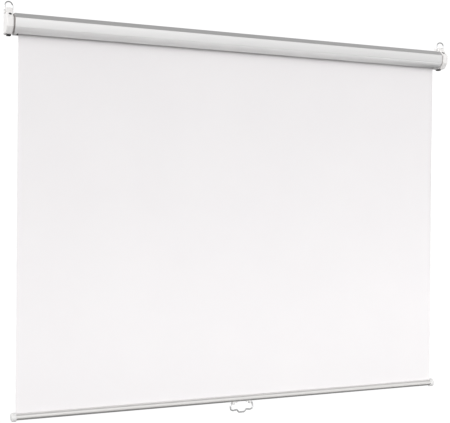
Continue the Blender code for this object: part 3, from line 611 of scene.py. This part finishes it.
def screw(name, at, direction, head_r, head_h, shank_r, shank_l, body, slot, node, spin=0.3):
    """A pan-head screw with a cross recess."""
    rows = [(head_h, 0.0), (head_h, head_r * 0.45)]
    rows += [(head_h * (0.42 + 0.58 * math.sin(a)), head_r * (0.55 + 0.45 * math.cos(a))) for a in [math.radians(90 - 15 * k) for k in range(1, 7)]]
    rows += [(head_h * 0.12, head_r), (0.0, head_r * 0.94), (0.0, shank_r), (-shank_l + shank_r * 1.4, shank_r), (-shank_l, 0.0)]
    obj = turned(name, rows, 36)
    size = head_r * 0.46
    slots = []
    for k in (0, 1):
        turn = Matrix.Rotation(spin + k * math.pi / 2, 3, "X")
        slots.append(block("slot", (head_h * 1.3, head_r * 1.15, size * 0.48), turn @ Vector((head_h * 1.15, 0, 0)), 0.12, 1, turn))
    combine(obj, slots)
    q = Vector((1, 0, 0)).rotation_difference(Vector(direction))
    obj.data.transform(q.to_matrix().to_4x4())
    obj.data.transform(Matrix.Translation(Vector(at) * MM))
    return done(obj, body, slot, [node], 30)


case_shell()
for side, label in SIDES:
    end_cap(side, label)
    hanger(side, label)
    rubber_foot(side, label)
    corner = section(0.0)[0]
    for word, d, y, z in (("front", Vector((0, -DIAG, DIAG)), corner[0] - 0.32 * UPPER_CHAMFER, CASE_TOP - 0.32 * UPPER_CHAMFER),
                          ("back", Vector((0, 1, 0)), CASE_BACK, -64.0)):
        head_r, head_h, shank, floor = CAP_HEADS[word]
        at = Vector((side * SCREW_X, y + FABRIC_Y, z)) - d * (floor - GAP)
        screw(f"{label}_cap_fixing_{word}", at, d, head_r, head_h, 1.5, shank, "case", "black_steel", f"{label}_cap_screw_{word}")
    screw(f"{label}_case_fixing", (side * 1013.0, FABRIC_Y, CASE_TOP + GAP), (0, 0, 1), 3.6, 1.9, 1.2, 5.5, "case", "zinc_steel", f"{label}_case_screw", 0.8)


# ---- the sheet ------------------------------------------------------------------------------
def sheet():
    """The hanging fabric: slow shallow waves, and side edges that turn a little to the back."""
    top, low = ROLLER_Z, FABRIC_LOW
    half = FABRIC_W / 2
    xs = []
    for k in range(11):
        xs.append(-half + 30 * (k / 10) ** 1.4)
    xs += [-half + 30 + (2 * half - 60) * i / 110 for i in range(1, 110)]
    xs += [-x for x in reversed(xs[:11])]
    zs = [top + (low - top) * i / 110 for i in range(111)]

    def shape(x, z):
        f = (top - z) / (top - low)
        calm = math.sin(math.pi * min(1.0, max(0.0, f))) ** 0.5
        y = 0.55 * calm * (math.sin(x / 155.0 + 0.7) * math.sin(z / 610.0 + 0.4) + 0.6 * math.sin(x / 83.0 - 1.1 + z / 900.0))
        edge = max(0.0, 1.0 - (half - abs(x)) / 16.0)
        if x > 0:
            reach = max(0.0, 1.0 - ((f - 0.30) / 0.42) ** 2)
        else:
            reach = 0.45 * max(0.0, 1.0 - ((f - 0.15) / 0.35) ** 2)
        return y + 3.4 * reach * edge * edge * calm

    bm = bmesh.new()
    t = 0.25
    layers = []
    for s in (-1, 1):
        layers.append([[bm.verts.new(Vector((x, FABRIC_Y + shape(x, z) + s * t, z)) * MM) for x in xs] for z in zs])
    front, back = layers
    rows, cols = len(zs), len(xs)
    for layer in layers:
        for i in range(rows - 1):
            for j in range(cols - 1):
                bm.faces.new((layer[i][j], layer[i][j + 1], layer[i + 1][j + 1], layer[i + 1][j]))
    for i in range(rows - 1):
        for j in (0, cols - 1):
            bm.faces.new((front[i][j], front[i + 1][j], back[i + 1][j], back[i][j]))
    for j in range(cols - 1):
        for i in (0, rows - 1):
            bm.faces.new((front[i][j], back[i][j], back[i][j + 1], front[i][j + 1]))
    obj = ring_object("hanging_sheet", bm)
    done(obj, "case", "screen_fabric", ["screen_fabric"], 40)
    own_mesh(obj)
    return obj


sheet()


# ---- bottom bar ---------------------------------------------------------------------------------
def bar_tube():
    slot = 1.6
    a_out = math.degrees(math.asin(slot / BAR_R))
    a_in = math.degrees(math.asin(slot / (BAR_R - 1.2)))
    line = arc(0, 0, BAR_R, 90 + a_out, 450 - a_out, 90) + arc(0, 0, BAR_R - 1.2, 450 - a_in, 90 + a_in, 72)
    xs = [-BAR_END, -BAR_END + 0.5] + [-1000 + 2000 * i / 20 for i in range(21)] + [BAR_END - 0.5, BAR_END]
    obj = loft("bar_profile", [[(x, y + FABRIC_Y, z + BAR_Z) for y, z in line] for x in xs])
    combine(obj, [rod("pilot", 1.4, 8.0, (HANDLE_X + s * 25.5, FABRIC_Y, BAR_Z - BAR_R), (0, 0, 1), 20) for s in (-1, 1)])
    return done(obj, "bottom_bar", "bar_paint", ["bottom_bar_tube"], 30)


def bar_cap(side, label):
    outer = [(1018.0, 0.0), (1018.0, BARCAP_R), (998.0, BARCAP_R), (998.0, BAR_R + GAP), (BAR_END + GAP, BAR_R + GAP), (BAR_END + GAP, 0.0)]
    line = rounded(outer, [0, 6.6, 1.0, 0.3, 0.2, 0], 8, False)
    profile = [(p[0], p[1]) for p in line]
    obj = turned(label + "_bar_cap_moulding", profile, 96, side, (FABRIC_Y, BAR_Z))
    combine(obj, [block("notch", (8.0, 2.4, 10.0), (side * 996.8, FABRIC_Y, BAR_Z + BARCAP_R - 1.0), 0.0)])
    return done(obj, "bottom_bar", "grey_cap_plastic", [label + "_bar_cap"], 28)


EYE_X, EYE_W, FOOT_IN, LUG_X = 41.0, 11.0, 19.5, 25.5
CLIP_LOW = HANDLE_Z - 5.6
FOOT_LOW = BAR_Z - BAR_R - GAP - 2.0


def clip(s, label):
    top = BAR_Z - 6.0
    obj = block(label + "_clip_moulding", (EYE_W, 14.0, top - CLIP_LOW), (HANDLE_X + s * EYE_X, FABRIC_Y, (top + CLIP_LOW) / 2), 2.6, 4)
    foot = block("foot", (EYE_X - FOOT_IN, 13.0, BAR_Z - 7.0 - FOOT_LOW), (HANDLE_X + s * (EYE_X + FOOT_IN) / 2, FABRIC_Y, (BAR_Z - 7.0 + FOOT_LOW) / 2), 1.2, 3)
    combine(obj, [foot], "UNION")
    combine(obj, [
        rod("saddle", BAR_R + GAP, 60.0, (HANDLE_X + s * 34.0, FABRIC_Y, BAR_Z), (1, 0, 0), 96),
        rod("eye", HANDLE_WIRE + 0.5, 30.0, (HANDLE_X + s * (EYE_X + 3.0), FABRIC_Y, HANDLE_Z), (1, 0, 0), 40),
        rod("hole", 1.5, 12.0, (HANDLE_X + s * LUG_X, FABRIC_Y, FOOT_LOW), (0, 0, 1), 20)])
    return done(obj, "bottom_bar", "grey_cap_plastic", [label + "_handle_clip"], 30)


bar_tube()
for side, label in SIDES:
    bar_cap(side, label)
    clip(side, label)
    screw(label + "_clip_fixing", (HANDLE_X + side * LUG_X, FABRIC_Y, FOOT_LOW - GAP), (0, 0, -1), 2.6, 1.5, 1.05, 7.0, "bottom_bar", "zinc_steel", label + "_clip_screw", 0.5)


def handle():
    half = [(34.5, 0), (50.8, 0), (54.0, -13.0), (52.0, -27.6), (41.0, -31.4), (22.5, -29.0), (12.5, -40.4)]
    whole = [(-x, z) for x, z in half] + [(x, z) for x, z in reversed(half)]
    radii = [0, 4.0, 14.0, 6.0, 8.0, 7.0, 8.0, 8.0, 7.0, 8.0, 6.0, 14.0, 4.0, 0]
    line = rounded(whole, radii, 10, False)
    dense = [line[0]]
    for a, b in zip(line, line[1:]):
        n = max(1, int((b - a).length / 3.0))
        dense += [a + (b - a) * (k / n) for k in range(1, n + 1)]
    path = [(HANDLE_X + p[0], FABRIC_Y, HANDLE_Z + p[1]) for p in dense]
    return done(swept("pull_handle_wire", path, HANDLE_WIRE, 28), "pull_handle", "handle_chrome", ["pull_handle"], 40)


handle()


# ---- floor and light ---------------------------------------------------------------------------
def floor():
    bm = bmesh.new()
    bmesh.ops.create_grid(bm, x_segments=1, y_segments=1, size=1.0)
    bmesh.ops.scale(bm, vec=(4.8, 0.88, 1), verts=bm.verts)
    bmesh.ops.translate(bm, vec=(1.4, -1.23, -1.94), verts=bm.verts)
    obj = ring_object("floor", bm)
    s = Shader("pale_floor", (0.84, 0.84, 0.84), 0.9)
    s.colour(s.noise(2.0, 3.0), [(0.3, (0.82, 0.82, 0.82)), (0.7, (0.86, 0.86, 0.86))])
    split = s.nodes.new("ShaderNodeSeparateXYZ")          # a little light of its own, more to the right
    s.links.new(s.coords, split.inputs[0])
    lift = s.nodes.new("ShaderNodeMapRange")
    lift.inputs["From Min"].default_value, lift.inputs["From Max"].default_value = -1.0, 3.0
    lift.inputs["To Min"].default_value, lift.inputs["To Max"].default_value = 0.22, 0.66
    s.links.new(split.outputs["X"], lift.inputs["Value"])
    s.links.new(lift.outputs["Result"], s.out.inputs["Emission Strength"])
    s.out.inputs["Emission Color"].default_value = (1, 1, 1, 1)
    glow = s.nodes.new("ShaderNodeEmission")
    glow.inputs["Strength"].default_value = 1.0
    path = s.nodes.new("ShaderNodeLightPath")
    mix = s.nodes.new("ShaderNodeMixShader")
    s.links.new(path.outputs["Is Camera Ray"], mix.inputs["Fac"])
    s.links.new(s.out.outputs[0], mix.inputs[1])
    s.links.new(glow.outputs[0], mix.inputs[2])
    s.links.new(mix.outputs[0], s.nodes["Material Output"].inputs["Surface"])
    obj.data.materials.append(s.mat)
    return obj


floor()


def world():
    """A studio seen as soft light: a bright wall in front, a long low light at the left, little from above and below."""
    w = bpy.data.worlds.new("studio")
    scene.world = w
    w.use_nodes = True
    nodes, links = w.node_tree.nodes, w.node_tree.links
    coords = nodes.new("ShaderNodeTexCoord")
    split = nodes.new("ShaderNodeSeparateXYZ")
    links.new(coords.outputs["Generated"], split.inputs[0])
    height = nodes.new("ShaderNodeMapRange")
    height.inputs["From Min"].default_value = -1.0
    height.inputs["From Max"].default_value = 1.0
    links.new(split.outputs["Z"], height.inputs["Value"])

    def ramp(stops):
        node = nodes.new("ShaderNodeValToRGB")
        for i, (z, v) in enumerate(stops):
            ends = node.color_ramp.elements
            element = ends[0] if i == 0 else ends[len(ends) - 1] if i == len(stops) - 1 else ends.new((z + 1) / 2)
            element.color = (v, v, v, 1)
        links.new(height.outputs["Result"], node.inputs["Fac"])
        return node.outputs["Color"]

    def fade(socket, at, to):
        """Runs from one value to another along an axis, and stays there."""
        node = nodes.new("ShaderNodeMapRange")
        node.interpolation_type = "SMOOTHSTEP"
        node.inputs["From Min"].default_value, node.inputs["From Max"].default_value = at
        node.inputs["To Min"].default_value, node.inputs["To Max"].default_value = to
        links.new(split.outputs[socket], node.inputs["Value"])
        return node.outputs["Result"]

    def times(a, b):
        node = nodes.new("ShaderNodeMath")
        node.operation = "MULTIPLY"
        links.new(a, node.inputs[0])
        links.new(b, node.inputs[1])
        return node.outputs[0]

    wall, key = nodes["Background"], nodes.new("ShaderNodeBackground")
    links.new(ramp(BAND), wall.inputs["Color"])
    links.new(fade("X", (-1.0, 1.0), (STUDIO * (1 + LEFTNESS), STUDIO * (1 - LEFTNESS))), wall.inputs["Strength"])
    links.new(ramp(KEY_BAND), key.inputs["Color"])
    links.new(times(fade("X", (-0.55, -0.12), (KEY, 0.0)), fade("Y", (-0.75, -0.35), (1.0, 0.0))), key.inputs["Strength"])
    back = nodes.new("ShaderNodeAddShader")
    links.new(wall.outputs[0], back.inputs[0])
    links.new(key.outputs[0], back.inputs[1])
    white = nodes.new("ShaderNodeBackground")
    white.inputs["Color"].default_value = (1, 1, 1, 1)
    white.inputs["Strength"].default_value = 1.05
    path = nodes.new("ShaderNodeLightPath")
    mix = nodes.new("ShaderNodeMixShader")
    links.new(path.outputs["Is Camera Ray"], mix.inputs["Fac"])
    links.new(back.outputs[0], mix.inputs[1])
    links.new(white.outputs[0], mix.inputs[2])
    links.new(mix.outputs[0], nodes["World Output"].inputs["Surface"])


BAND = [(-1.0, 0.13), (-0.8, 0.13), (-0.3, 0.14), (-0.12, 0.16), (-0.02, 0.72), (0.06, 0.95), (0.15, 0.98), (0.45, 1.15), (0.58, 1.15), (0.73, 0.42), (0.85, 0.34), (1.0, 0.35)]
KEY_BAND = [(-1.0, 0.0), (-0.04, 0.0), (0.02, 1.0), (0.20, 1.0), (0.34, 0.0), (1.0, 0.0)]
KEY = 5.8
STUDIO = 1.20
LEFTNESS = 0.22
world()
scene.view_settings.view_transform = "Standard"
scene.view_settings.look = "None"
scene.view_settings.exposure = 0.0
scene.view_settings.gamma = 1.0
